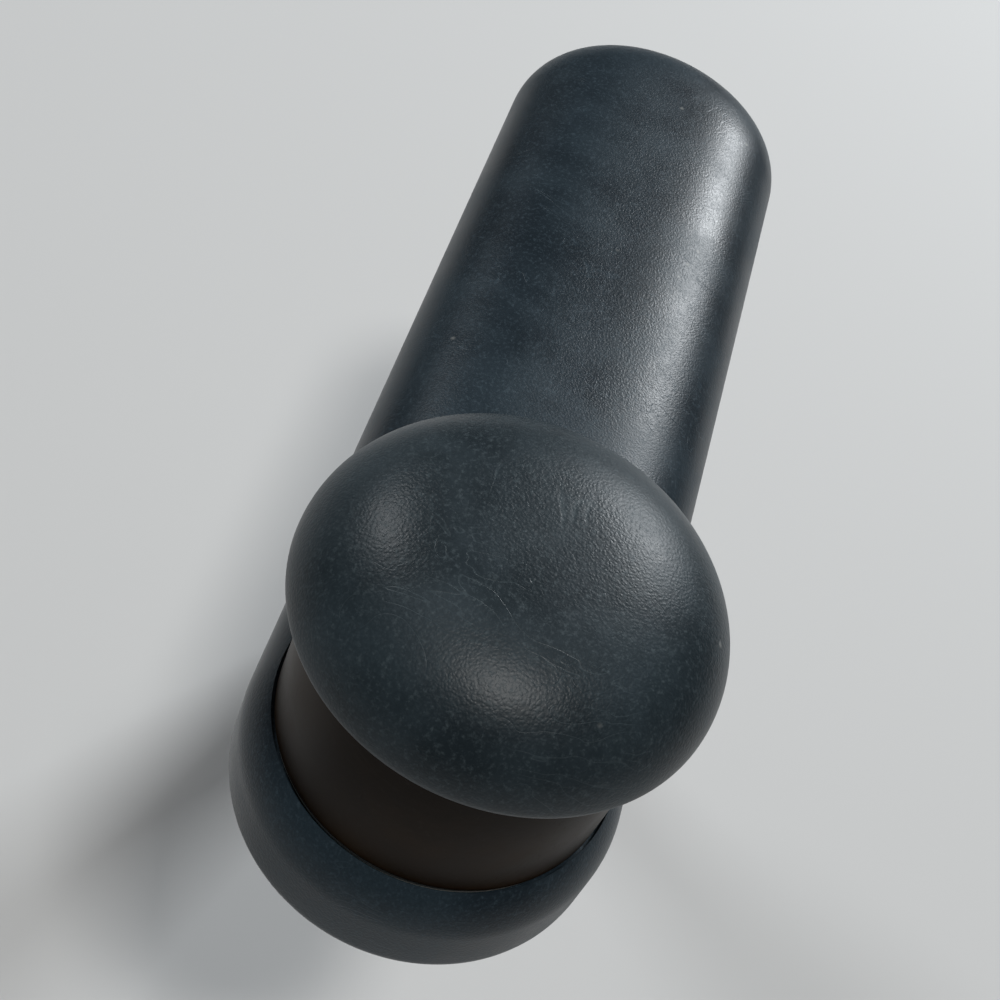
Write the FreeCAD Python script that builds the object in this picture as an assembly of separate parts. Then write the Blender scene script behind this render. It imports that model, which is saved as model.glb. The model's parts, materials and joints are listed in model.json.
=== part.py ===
"""Two-part hitch pin lock with an offset deadbolt head.

A round pin passes through the hitch and ends in a grooved spigot. The head is a long bar that drops over the
spigot; a key at the other end of the bar turns a cam, and the cam's pin drives a forked bolt round the groove.
Origin: on the pin axis, where the shank ends and the seat washer rests. +Z runs up the pin to the head,
+X runs along the bar to the knob. Millimetres.
"""
import FreeCAD, Part
import math
import os

V = FreeCAD.Vector

# ---- fits -------------------------------------------------------------------
RUN = 0.06          # radial clearance of a turning or sliding fit
GAP = 0.3           # clear gap between pieces that pass each other

# ---- pin --------------------------------------------------------------------
SHANK_R = 7.94      # 5/8 inch hitch pin
SPAN = 76.0         # usable length between stop head and seat washer
SPIGOT_R = 7.0
CORE_R = 4.5        # bottom of the lock groove
STOP_R, STOP_T = 15.0, 8.0
STOP_SPIGOT_R = 5.0
BOOT_WALL = 2.0
BOOT_GRIP = 6.0     # how far the boot reaches up the stop head

# ---- seat washer and collar ---------------------------------------------------
WASHER_R, WASHER_T = 15.0, 2.0
PAD_T = 1.0
COLLAR_R, COLLAR_H = 14.0, 9.7
COLLAR_NECK_R = 10.5
SEAL_R = 1.0        # section radius of the collar's seal ring

# ---- bar ----------------------------------------------------------------------
REACH = 97.0        # pin axis to knob axis
BAR_HALF = 18.0     # half width, also the radius of both ends
BAR_H = 16.0
CROWN_DOWN = 9.2    # height of the cover's crowned top
CROWN_POW = (3.2, 2.0)               # exponents across and down: soft crown, rounder shoulder
CORE_ACROSS, CORE_DOWN, CORE_POW = 6.5, 8.0, 2.25      # rounding of the flat-topped frame and cavity
EDGE_FOOT = 2.2     # rounding of the bottom edge
SKIN = 2.5          # moulded cover's wall at the sides and the crown
PLATE_T = 2.0       # base plate
ARMOUR_T = 2.5
ARMOUR_HALF = 8.5

# ---- bolt and cam ---------------------------------------------------------------
BOLT_T = 4.0
BOLT_HALF = 8.0
GUIDE_T = 2.0
TIP_T = 2.5         # pin tip above the bolt
CAM_THROW = 6.0     # eccentric pin's distance from the key axis
CAM_PIN_R = 1.8
CAM_R = 8.0
KEY_START = 45.0    # cam pin's angle from +X with the bolt drawn back
KEY_TURN = 90.0

# ---- knob -----------------------------------------------------------------------
NECK_R = 15.7
NECK_H = 13.7       # above the bar's top
PLUG_R = 5.5
SHELL_R = 8.5
BARREL_R = 11.5
PIVOT_OUT = 13.9    # cap pivot's distance from the knob axis
PIVOT_R = 1.1
RING_T = 1.0
WAFERS = 6

# ---- cap ------------------------------------------------------------------------
CAP_R = 18.35
CAP_BASE_R = 18.0   # at the seam
CAP_H = 10.1
CAP_LIP = 0.8       # height of the widest point above the seam
CAP_ACROSS, CAP_UP = 3.1, 1.84       # dome exponents: flat crown, soft rim

# ---- levels along Z ---------------------------------------------------------------
COLLAR_Z = WASHER_T + PAD_T + GAP
BAR_Z = COLLAR_Z + COLLAR_H
BAR_TOP = BAR_Z + BAR_H
FRAME_Z = BAR_Z + PLATE_T
FRAME_TOP = BAR_TOP - SKIN
ARMOUR_Z = FRAME_TOP - ARMOUR_T
BOLT_Z = FRAME_Z + GUIDE_T
BOLT_TOP = BOLT_Z + BOLT_T
ROOF_Z = BOLT_TOP + GAP              # roof of the bolt channel
GROOVE_Z = BOLT_Z - GAP
GROOVE_TOP = BOLT_TOP + GAP
TIP_Z = ARMOUR_Z - GAP               # top of the pin
CAM_Z = BOLT_TOP + GAP + 0.1
CAM_TOP = ARMOUR_Z - 0.2
BARREL_Z = ARMOUR_Z - 2.0            # barrel is let into the frame
THRUST_T = 0.4
SLEEVE_Z = ARMOUR_Z + THRUST_T + GAP
NECK_TOP = BAR_TOP + NECK_H
BARREL_TOP = NECK_TOP - 0.7
SHELL_Z = CAM_TOP + GAP + 0.1
SHELL_TOP = BARREL_TOP - 0.4
CAP_Z = NECK_TOP + GAP
RING_Z = (SLEEVE_Z + NECK_TOP) / 2 - RING_T / 2
TRAVEL = CAM_THROW * (math.cos(math.radians(KEY_START))
                      - math.cos(math.radians(KEY_START + KEY_TURN)))
CAM_X = REACH + CAM_THROW * math.cos(math.radians(KEY_START))
CAM_Y = CAM_THROW * math.sin(math.radians(KEY_START))


def cyl(r, z0, z1, x=0.0, y=0.0):
    return Part.makeCylinder(r, z1 - z0, V(x, y, z0))


def ring(r_out, r_in, z0, z1, x=0.0, y=0.0):
    return cyl(r_out, z0, z1, x, y).cut(cyl(r_in, z0, z1, x, y))


def box(x0, x1, y0, y1, z0, z1):
    return Part.makeBox(x1 - x0, y1 - y0, z1 - z0, V(x0, y0, z0))


def cone(r0, r1, z0, z1, x=0.0, y=0.0):
    return Part.makeCone(r0, r1, z1 - z0, V(x, y, z0))


def torus(r_mid, r_sec, z, x=0.0):
    return Part.makeTorus(r_mid, r_sec, V(x, 0, z))


def revolve(points, x=0.0):
    """Solid turned about a vertical axis from (radius, z) points."""
    wire = Part.makePolygon([V(x + r, 0, z) for r, z in points + points[:1]])
    return Part.Face(wire).revolve(V(x, 0, 0), V(0, 0, 1), 360)


def slab(half, x0, x1, z0, z1):
    """Plate with round ends centred on x0 and x1."""
    mid = box(x0, x1, -half, half, z0, z1)
    return mid.fuse([cyl(half, z0, z1, x0), cyl(half, z0, z1, x1)]).removeSplitter()


def soft_curve(x_out, z_out, across, rise, pow_across, pow_rise, steps=14):
    """Rounded quarter from the vertical side at (x_out, z_out) in and up to a flat crown, in the XZ plane."""
    pts = []
    for i in range(steps + 1):
        t = math.pi / 2 * i / steps
        pts.append(V(x_out - across * (1 - math.cos(t) ** (2 / pow_across)), 0,
                     z_out + rise * math.sin(t) ** (2 / pow_rise)))
    pts[-1] = V(x_out - across, 0, z_out + rise)
    curve = Part.BSplineCurve()
    curve.interpolate(pts, InitialTangent=V(0, 0, 1), FinalTangent=V(-1, 0, 0))
    return curve.toShape(), pts[0], pts[-1]


def crowned_bar(half, z0, top, down):
    """Long bar with a crowned, rounded top: half-turned ends and a drawn middle between them."""
    edge, side, crown = soft_curve(half, top - down, half, down, *CROWN_POW)
    foot, rim = V(0, 0, z0), V(half, 0, z0)
    profile = Part.Face(Part.Wire(Part.__sortEdges__([
        Part.makeLine(foot, rim), Part.makeLine(rim, side), edge, Part.makeLine(crown, foot)])))
    pieces = []
    for turn, x in ((90, 0.0), (-90, REACH)):
        face = profile.copy()
        face.rotate(V(0, 0, 0), V(0, 0, 1), turn)
        pieces.append(face.extrude(V(REACH, 0, 0)))
        end = face.copy()
        end.translate(V(x, 0, 0))
        pieces.append(end.revolve(V(x, 0, 0), V(0, 0, 1), 180))
    return pieces[0].fuse(pieces[1:]).removeSplitter()


def flat_bar(half, z0, top, across, down):
    """Long bar with round ends, rounded edges and a flat top: two turned ends and a drawn middle."""
    def profile(x):
        edge, side, crown = soft_curve(x + half, top - down, across, down, CORE_POW, CORE_POW)
        return [Part.makeLine(V(x, 0, z0), V(x + half, 0, z0)), Part.makeLine(V(x + half, 0, z0), side),
                edge, Part.makeLine(crown, V(x, 0, top)), Part.makeLine(V(x, 0, top), V(x, 0, z0))]
    ends = []
    for x in (0.0, REACH):
        face = Part.Face(Part.Wire(Part.__sortEdges__(profile(x))))
        ends.append(face.revolve(V(x, 0, 0), V(0, 0, 1), 360))
    face = Part.Face(Part.Wire(Part.__sortEdges__(profile(0.0))))
    halves = []
    for turn in (90, -90):
        f = face.copy()
        f.rotate(V(0, 0, 0), V(0, 0, 1), turn)
        halves.append(f.extrude(V(REACH, 0, 0)))
    return ends[0].fuse([ends[1]] + halves).removeSplitter()


def cap_solid():
    """Dome with a flat crown and a soft rim, slightly drawn in at the seam."""
    dome, widest, crown = soft_curve(
        REACH + CAP_R, CAP_Z + CAP_LIP, CAP_R, CAP_H - CAP_LIP, CAP_ACROSS, CAP_UP)
    foot = V(REACH + CAP_BASE_R, 0, CAP_Z)
    bulge = V(REACH + CAP_R - (CAP_R - CAP_BASE_R) * 0.25, 0, CAP_Z + CAP_LIP / 2)
    lip = Part.Arc(foot, bulge, widest).toShape()
    edges = [Part.makeLine(V(REACH, 0, CAP_Z), foot), lip, dome, Part.makeLine(crown, V(REACH, 0, CAP_Z))]
    return Part.Face(Part.Wire(edges)).revolve(V(REACH, 0, 0), V(0, 0, 1), 360)


def screw(r, head_r, head_t, z_head, z_tip, x, y):
    """Countersunk screw, head at z_head, with a cross-shaped drive."""
    d = 1 if z_tip > z_head else -1
    head = Part.makeCone(head_r, r, head_t, V(x, y, z_head), V(0, 0, d))
    body = Part.makeCylinder(r, abs(z_tip - z_head) - 0.5 * r, V(x, y, z_head), V(0, 0, d))
    end = Part.makeCone(r, 0.6 * r, 0.5 * r, V(x, y, z_tip - d * 0.5 * r), V(0, 0, d))
    s = head.fuse([body, end])
    arm, deep = 0.62 * head_r, 0.5 * head_t
    lo, hi = min(z_head, z_head + d * deep), max(z_head, z_head + d * deep)
    drive = box(x - arm, x + arm, y - 0.12 * head_r, y + 0.12 * head_r, lo, hi)
    drive = drive.fuse(box(x - 0.12 * head_r, x + 0.12 * head_r, y - arm, y + arm, lo, hi))
    return s.cut(drive).removeSplitter()


def screw_hole(r, head_r, head_t, z_head, z_tip, x, y):
    d = 1 if z_tip > z_head else -1
    head = Part.makeCone(head_r, r, head_t, V(x, y, z_head), V(0, 0, d))
    return head.fuse(Part.makeCylinder(r, abs(z_tip - z_head), V(x, y, z_head), V(0, 0, d)))


parts = {}

# ---- pin ----------------------------------------------------------------------
STOP_Z = -SPAN - STOP_T
TIP_CHAMFER = 1.2
SHANK_EASE = 0.4
parts["pin_shank"] = revolve([
    (0, STOP_Z), (STOP_SPIGOT_R, STOP_Z), (STOP_SPIGOT_R, -SPAN), (SHANK_R, -SPAN), (SHANK_R, -SHANK_EASE),
    (SHANK_R - SHANK_EASE, 0), (SPIGOT_R, 0), (SPIGOT_R, GROOVE_Z), (CORE_R, GROOVE_Z), (CORE_R, GROOVE_TOP),
    (SPIGOT_R, GROOVE_TOP), (SPIGOT_R, TIP_Z - TIP_CHAMFER), (SPIGOT_R - TIP_CHAMFER, TIP_Z), (0, TIP_Z)])

stop = ring(STOP_R, STOP_SPIGOT_R, STOP_Z, -SPAN)
parts["stop_head"] = stop.makeChamfer(
    0.8, [e for e in stop.Edges if abs(e.Length - 2 * math.pi * STOP_R) < 0.01])

boot_r, boot_z = STOP_R + BOOT_WALL, STOP_Z - BOOT_WALL
boot = cyl(boot_r, boot_z, STOP_Z + BOOT_GRIP)
boot = boot.makeFillet(1.6, [e for e in boot.Edges if abs(e.Length - 2 * math.pi * boot_r) < 0.01
                             and e.BoundBox.ZMax < STOP_Z])
parts["stop_boot"] = boot.cut(cyl(STOP_R, STOP_Z, STOP_Z + BOOT_GRIP))

# ---- seat washer ---------------------------------------------------------------
bore_r = SPIGOT_R + RUN
washer = ring(WASHER_R, bore_r, 0, WASHER_T)
parts["seat_washer"] = washer.makeChamfer(0.4, [e for e in washer.Edges
                                                if abs(e.Length - 2 * math.pi * WASHER_R) < 0.01])
parts["washer_pad"] = ring(WASHER_R - 0.6, SPIGOT_R + GAP, WASHER_T, WASHER_T + PAD_T)

# ---- collar ---------------------------------------------------------------------
seal_mid = bore_r + SEAL_R
seal_z = COLLAR_Z + COLLAR_H / 2
collar = revolve([
    (bore_r, COLLAR_Z + 0.8), (bore_r + 0.8, COLLAR_Z),
    (COLLAR_R - 1.0, COLLAR_Z), (COLLAR_R, COLLAR_Z + 1.0),
    (COLLAR_R, BAR_Z), (COLLAR_NECK_R, BAR_Z), (COLLAR_NECK_R, FRAME_Z), (bore_r, FRAME_Z)])
seal = torus(seal_mid, SEAL_R, seal_z)
parts["pin_collar"] = collar.cut(ring(seal_mid + SEAL_R, bore_r - 0.5, seal_z - SEAL_R, seal_z + SEAL_R))
parts["collar_seal"] = seal

# ---- cover -----------------------------------------------------------------------
outer = crowned_bar(BAR_HALF, BAR_Z, BAR_TOP, CROWN_DOWN)
foot_edges = [e for e in outer.Edges if e.BoundBox.ZMax < BAR_Z + 1e-3]
outer = outer.makeFillet(EDGE_FOOT, foot_edges)
inner = flat_bar(BAR_HALF - SKIN, BAR_Z - 1, FRAME_TOP, CORE_ACROSS, CORE_DOWN)
neck_hole = cyl(NECK_R + GAP, ARMOUR_Z, BAR_TOP + 1, REACH)
parts["body_cover"] = outer.cut(inner).cut(neck_hole)

# ---- base plate and screws ---------------------------------------------------------
core_half = BAR_HALF - SKIN
SCREW_R, SCREW_HEAD_R, SCREW_HEAD_T, SCREW_L = 1.1, 2.1, 1.2, 8.0
SCREW_Y = core_half - SCREW_HEAD_R - 0.2
screw_at = [(x, s * SCREW_Y) for x in (18.0, REACH / 2, REACH - 17.0) for s in (-1, 1)]
plate = slab(core_half, 0, REACH, BAR_Z, FRAME_Z).cut(cyl(COLLAR_NECK_R, BAR_Z, FRAME_Z))
holes = [screw_hole(SCREW_R, SCREW_HEAD_R, SCREW_HEAD_T, BAR_Z, BAR_Z + SCREW_L, x, y) for x, y in screw_at]
parts["base_plate"] = plate.cut(holes)
parts["base_screws"] = Part.makeCompound([
    screw(SCREW_R, SCREW_HEAD_R, SCREW_HEAD_T, BAR_Z, BAR_Z + SCREW_L, x, y) for x, y in screw_at])

# ---- bolt ------------------------------------------------------------------------
fork_half = CORE_R + GAP
tip_x = math.sqrt((SPIGOT_R + GAP) ** 2 - fork_half ** 2) + 0.2
root_x = CORE_R + GAP + TRAVEL + 0.3
SLOT_HALF = CAM_PIN_R + GAP
slot_y0 = CAM_Y - CAM_PIN_R - GAP
slot_y1 = CAM_THROW + CAM_PIN_R + GAP
yoke_x0, yoke_x1 = REACH - 3.0, CAM_X + SLOT_HALF + 2.6
yoke_y1 = slot_y1 + 2.2
bolt = box(tip_x, yoke_x1, -BOLT_HALF, BOLT_HALF, BOLT_Z, BOLT_TOP)
bolt = bolt.fuse(box(yoke_x0, yoke_x1, -BOLT_HALF, yoke_y1, BOLT_Z, BOLT_TOP)).removeSplitter()
corners = [e for e in bolt.Edges if abs(e.BoundBox.ZLength - BOLT_T) < 1e-3]
bolt = bolt.makeFillet(1.5, [
    e for e in corners if e.BoundBox.XMax < tip_x + 0.1 or e.BoundBox.XMin > yoke_x1 - 0.1])
bolt = bolt.cut(box(tip_x - 1, root_x, -fork_half, fork_half, BOLT_Z, BOLT_TOP))
bolt = bolt.cut(box(CAM_X - SLOT_HALF, CAM_X + SLOT_HALF, slot_y0, slot_y1, BOLT_Z, BOLT_TOP))
for x0 in (30.0, 54.0):              # lightening slots
    bolt = bolt.cut(slab(3.0, x0, x0 + 14.0, BOLT_Z, BOLT_TOP))
parts["dead_bolt"] = bolt

# ---- frame -------------------------------------------------------------------------
channel_half = yoke_y1 + GAP + 0.2
channel_x0, channel_x1 = tip_x - TRAVEL - GAP - 0.4, yoke_x1 + GAP + 0.2
body = flat_bar(core_half, FRAME_Z, FRAME_TOP, CORE_ACROSS, CORE_DOWN)
cuts = [box(channel_x0, channel_x1, -channel_half, channel_half, FRAME_Z, ROOF_Z),
        cyl(SPIGOT_R + GAP, FRAME_Z, ARMOUR_Z),
        cyl(CAM_R + GAP, ROOF_Z, ARMOUR_Z, REACH),
        cyl(BARREL_R, BARREL_Z, ARMOUR_Z, REACH),
        cyl(NECK_R + GAP, ARMOUR_Z, FRAME_TOP + 1, REACH)]
armour_x1 = REACH - NECK_R - GAP - ARMOUR_HALF - 2.0
armour = slab(ARMOUR_HALF, 0, armour_x1, ARMOUR_Z, FRAME_TOP)
RIVET_R, RIVET_DEEP = 1.5, 1.5
rivet_at = [(x, 0.0) for x in (16.0, 38.0, 60.0)]
rivets = [cyl(RIVET_R, ARMOUR_Z - RIVET_DEEP, FRAME_TOP, x, y) for x, y in rivet_at]
parts["armour_plate"] = armour.cut(rivets)
parts["armour_rivets"] = Part.makeCompound(rivets)
parts["lock_frame"] = body.cut(cuts + [armour] + rivets + holes)

# ---- bolt guides --------------------------------------------------------------------
GUIDE_X0, GUIDE_X1, GUIDE_Y0 = 16.0, REACH - 12.0, 3.6
parts["bolt_guides"] = Part.makeCompound([
    box(GUIDE_X0, GUIDE_X1, min(s * GUIDE_Y0, s * BOLT_HALF), max(s * GUIDE_Y0, s * BOLT_HALF),
        FRAME_Z, BOLT_Z - RUN) for s in (-1, 1)])

# ---- lock barrel and cylinder ----------------------------------------------------------
RING_IN, RING_OUT = BARREL_R - 0.8, BARREL_R + 0.6
PIN_AXIS_Z = RING_Z - 5.0
SHELL_PIN_R = 1.0
cross = Part.makeCylinder(
    SHELL_PIN_R, BARREL_R - PLUG_R - 0.7, V(REACH, -BARREL_R + 0.1, PIN_AXIS_Z), V(0, 1, 0))
barrel = ring(BARREL_R, SHELL_R, BARREL_Z, BARREL_TOP, REACH)
barrel = barrel.cut(ring(BARREL_R + 1, RING_IN, RING_Z, RING_Z + RING_T, REACH)).cut(
    Part.makeCylinder(SHELL_PIN_R, 6.0, V(REACH, -BARREL_R - 1, PIN_AXIS_Z), V(0, 1, 0)))
parts["lock_barrel"] = barrel.makeChamfer(0.5, [
    e for e in barrel.Edges
    if abs(e.Length - 2 * math.pi * BARREL_R) < 0.01 and e.BoundBox.ZMin > BARREL_TOP - 0.01])
parts["shell_pin"] = cross

HEAD_R, HEAD_T = PLUG_R + 0.8, 1.2
GUARD_R = 0.75
guard_out = (PLUG_R + SHELL_R) / 2
guards = [cyl(GUARD_R, SHELL_TOP - 11.0, SHELL_TOP - 2.4, REACH + guard_out * math.cos(math.radians(a)),
              guard_out * math.sin(math.radians(a))) for a in (-35, 35)]
shell = ring(SHELL_R, PLUG_R + RUN, SHELL_Z, SHELL_TOP, REACH)
shell = shell.cut([cyl(HEAD_R + GAP, SHELL_TOP - HEAD_T - GAP, SHELL_TOP, REACH), cross] + guards)
parts["cylinder_shell"] = shell
parts["drill_guards"] = Part.makeCompound(guards)
parts["thrust_washer"] = ring(NECK_R - 0.3, BARREL_R + 0.2, ARMOUR_Z, ARMOUR_Z + THRUST_T, REACH)
snap = ring(RING_OUT, RING_IN, RING_Z, RING_Z + RING_T, REACH)
parts["sleeve_ring"] = snap.cut(box(REACH, REACH + RING_OUT + 1, -1.8, 1.8, RING_Z, RING_Z + RING_T))

# ---- key plug, wafers, cam ----------------------------------------------------------------
KEY_W, KEY_L = 2.2, 8.0
WAFER_T, WAFER_PITCH, WAFER_Y = 0.9, 2.1, 2.4
wafer_x = math.sqrt((PLUG_R - 0.2) ** 2 - WAFER_Y ** 2)
TAIL = 5.6
tail_z = CAM_Z + 0.8
plug = cyl(PLUG_R, SHELL_Z, SHELL_TOP, REACH).fuse([
    cyl(HEAD_R, SHELL_TOP - HEAD_T, SHELL_TOP, REACH),
    box(REACH - TAIL / 2, REACH + TAIL / 2, -TAIL / 2, TAIL / 2, tail_z, SHELL_Z)]).removeSplitter()
plug = plug.cut(box(REACH - KEY_L / 2, REACH + KEY_L / 2, -KEY_W / 2, KEY_W / 2, SHELL_Z + 2.0, SHELL_TOP))
wafer_z = [SHELL_Z + 2.6 + i * WAFER_PITCH for i in range(WAFERS)]
cells, plates = [], []
for z in wafer_z:
    cells.append(box(REACH - wafer_x - 0.3, REACH + wafer_x + 0.3, -WAFER_Y - 0.1, WAFER_Y + 0.1,
                     z - 0.1, z + WAFER_T + 0.1))
    plates.append(box(REACH - wafer_x, REACH + wafer_x, -WAFER_Y, WAFER_Y, z, z + WAFER_T).cut(
        box(REACH - wafer_x + 1.5, REACH + wafer_x - 1.5, -KEY_W / 2 - 0.2, KEY_W / 2 + 0.2, z, z + WAFER_T)))
TAP_R, TAP_L = 1.25, 2.6
tap = screw_hole(TAP_R, 2.3, 0.8, CAM_Z, CAM_Z + TAP_L, REACH, 0)
parts["key_plug"] = plug.cut(cells).cut(tap)
parts["wafers"] = Part.makeCompound(plates)
cam = cyl(CAM_R, CAM_Z, CAM_TOP, REACH).fuse(cyl(CAM_PIN_R, BOLT_Z + GAP, CAM_Z, CAM_X, CAM_Y))
cam = cam.cut(box(REACH - TAIL / 2, REACH + TAIL / 2, -TAIL / 2, TAIL / 2, tail_z, CAM_TOP)).cut(tap)
parts["drive_cam"] = cam.removeSplitter()
parts["cam_screw"] = screw(TAP_R, 2.3, 0.8, CAM_Z, CAM_Z + TAP_L, REACH, 0)

# ---- guard sleeve and cap pivot ---------------------------------------------------------------
PIVOT_HEAD_R, PIVOT_HEAD_T = PIVOT_R + 0.3, 1.5
pivot_z = SLEEVE_Z + GAP
pivot_top = CAP_Z + 4.0
sleeve = ring(NECK_R, BARREL_R + RUN, SLEEVE_Z, NECK_TOP, REACH)
rim = [e for e in sleeve.Edges
       if abs(e.Length - 2 * math.pi * NECK_R) < 0.01 and e.BoundBox.ZMin > NECK_TOP - 0.01]
sleeve = sleeve.makeFillet(0.5, rim)
sleeve = sleeve.cut([
    ring(RING_OUT + 0.2, BARREL_R - 1, RING_Z - GAP, RING_Z + RING_T + GAP, REACH),
    cyl(PIVOT_R + RUN, SLEEVE_Z, NECK_TOP, REACH, PIVOT_OUT),
    cyl(PIVOT_HEAD_R + RUN, SLEEVE_Z, pivot_z + PIVOT_HEAD_T + GAP, REACH, PIVOT_OUT)])
parts["guard_sleeve"] = sleeve
parts["cap_pivot"] = cyl(PIVOT_HEAD_R, pivot_z, pivot_z + PIVOT_HEAD_T, REACH, PIVOT_OUT).fuse(
    cyl(PIVOT_R, pivot_z, pivot_top, REACH, PIVOT_OUT)).removeSplitter()

# ---- cap ------------------------------------------------------------------------------------------
PAN_R = PIVOT_OUT - PIVOT_R - 0.8
SEAL_T, PAN_T = 0.4, 1.5
HOLLOW_R, HOLLOW_T = PAN_R - 3.4, 3.0
pan_z = CAP_Z + SEAL_T
CS_R, CS_HEAD_R, CS_HEAD_T, CS_L = 0.7, 1.2, 0.6, 4.5
cs_at = [(REACH + (PAN_R - 1.8) * math.cos(math.radians(a)), (PAN_R - 1.8) * math.sin(math.radians(a)))
         for a in (30, 150, 270)]
cs_holes = [screw_hole(CS_R, CS_HEAD_R, CS_HEAD_T, pan_z, pan_z + CS_L, x, y) for x, y in cs_at]
clear = [cyl(CS_HEAD_R + 0.2, CAP_Z, pan_z, x, y) for x, y in cs_at]
cap = cap_solid().cut([cyl(PAN_R, CAP_Z, pan_z + PAN_T, REACH),
                       cyl(HOLLOW_R, CAP_Z, pan_z + PAN_T + HOLLOW_T, REACH),
                       cyl(PIVOT_R, CAP_Z, pivot_top, REACH, PIVOT_OUT)] + cs_holes)
parts["dust_cap"] = cap
parts["cap_plate"] = cyl(PAN_R, pan_z, pan_z + PAN_T, REACH).cut(cs_holes)
parts["cap_seal"] = ring(PAN_R, HOLLOW_R - 0.6, CAP_Z, pan_z, REACH).cut(clear)
parts["cap_screws"] = Part.makeCompound([
    screw(CS_R, CS_HEAD_R, CS_HEAD_T, pan_z, pan_z + CS_L, x, y) for x, y in cs_at])

# ---- export ---------------------------------------------------------------------------------------
os.makedirs("parts", exist_ok=True)
for name, shape in parts.items():
    if not shape.isValid() or shape.Volume <= 0:
        raise ValueError(name + " did not close")
    shape.exportStep("parts/" + name + ".step")
    print(name, len(shape.Solids), round(shape.Volume, 1))
print("bolt travel", round(TRAVEL, 3))
print("levels", *(round(z, 2) for z in (BAR_Z, BAR_TOP, NECK_TOP, CAP_Z)))
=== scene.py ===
"""Hitch pin lock with an offset deadbolt head: finished pieces, finishes, light and camera."""
import json
import math
import bmesh
import bpy
from mathutils import Matrix, Vector


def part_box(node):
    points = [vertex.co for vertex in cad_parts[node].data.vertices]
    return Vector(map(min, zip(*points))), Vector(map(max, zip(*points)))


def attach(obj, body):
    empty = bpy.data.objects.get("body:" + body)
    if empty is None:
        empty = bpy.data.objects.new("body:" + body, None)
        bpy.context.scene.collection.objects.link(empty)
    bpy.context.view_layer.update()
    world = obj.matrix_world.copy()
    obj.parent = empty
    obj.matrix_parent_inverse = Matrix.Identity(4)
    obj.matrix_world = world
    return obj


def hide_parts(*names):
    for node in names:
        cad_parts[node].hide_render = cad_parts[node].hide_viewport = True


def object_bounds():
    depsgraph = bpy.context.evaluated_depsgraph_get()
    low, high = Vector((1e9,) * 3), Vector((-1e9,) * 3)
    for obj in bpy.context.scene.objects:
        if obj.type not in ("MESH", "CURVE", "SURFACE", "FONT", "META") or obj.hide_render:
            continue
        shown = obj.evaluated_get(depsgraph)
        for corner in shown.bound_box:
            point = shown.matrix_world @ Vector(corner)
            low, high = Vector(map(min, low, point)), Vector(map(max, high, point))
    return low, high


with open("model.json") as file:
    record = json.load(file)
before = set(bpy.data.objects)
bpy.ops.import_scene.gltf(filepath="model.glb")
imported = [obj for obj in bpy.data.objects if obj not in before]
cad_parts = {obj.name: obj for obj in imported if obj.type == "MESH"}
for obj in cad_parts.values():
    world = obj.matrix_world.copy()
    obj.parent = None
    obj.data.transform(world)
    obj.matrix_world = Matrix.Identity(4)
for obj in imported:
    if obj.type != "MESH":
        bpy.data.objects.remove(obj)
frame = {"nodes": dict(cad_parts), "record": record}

cad_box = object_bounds()
MM = 0.001
NODES = frame["nodes"]
scene = bpy.context.scene


# ---- sizes read from the frame ---------------------------------------------------------------
def low(node):
    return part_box(node)[0]


def high(node):
    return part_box(node)[1]


BAR_HALF = high("body_cover")[1]
REACH = high("body_cover")[0] - BAR_HALF
BAR_Z, BAR_TOP = low("body_cover")[2], high("body_cover")[2]
NECK_R = (high("guard_sleeve")[1] - low("guard_sleeve")[1]) / 2
NECK_Z, NECK_TOP = low("guard_sleeve")[2], high("guard_sleeve")[2]
CAP_R = (high("dust_cap")[1] - low("dust_cap")[1]) / 2
CAP_Z, CAP_TOP = low("dust_cap")[2], high("dust_cap")[2]
CROWN_DOWN, CROWN_POW = 9.2 * MM, (3.2, 2.0)           # the cover's crowned top
CORE_ACROSS, CORE_DOWN, CORE_POW = 6.5 * MM, 8.0 * MM, 2.25   # its cavity
DOME_POW = (3.1, 1.84)
FOOT = 2.2 * MM
SKIN = BAR_HALF - high("base_plate")[1]
RUN, GAP = 0.06 * MM, 0.3 * MM          # running fit and clear gap


# ---- node helpers ----------------------------------------------------------------------------
class Tree:
    """Short-hand for building a node tree."""

    def __init__(self, tree):
        self.t = tree

    def node(self, kind, inputs=(), **props):
        n = self.t.nodes.new(kind)
        for k, v in props.items():
            setattr(n, k, v)
        pairs = inputs.items() if isinstance(inputs, dict) else enumerate(inputs)
        for key, v in pairs:
            if v is None:
                continue
            s = n.inputs[key]
            if isinstance(v, bpy.types.NodeSocket):
                self.t.links.new(v, s)
            else:
                s.default_value = v
        return n

    def math(self, op, a, b=None):
        return self.node("ShaderNodeMath", [a, b], operation=op).outputs[0]

    def remap(self, value, lo, hi, out_lo=0.0, out_hi=1.0, smooth=True):
        n = self.node("ShaderNodeMapRange", {"Value": value, "From Min": lo, "From Max": hi,
                                             "To Min": out_lo, "To Max": out_hi})
        n.interpolation_type = "SMOOTHSTEP" if smooth else "LINEAR"
        return n.outputs[0]

    def mix(self, fac, a, b, blend="MIX"):
        n = self.node("ShaderNodeMix", data_type="RGBA", blend_type=blend)
        for s, v in ((n.inputs[0], fac), (n.inputs[6], a), (n.inputs[7], b)):
            if isinstance(v, bpy.types.NodeSocket):
                self.t.links.new(v, s)
            else:
                s.default_value = v
        return n.outputs[2]


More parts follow.
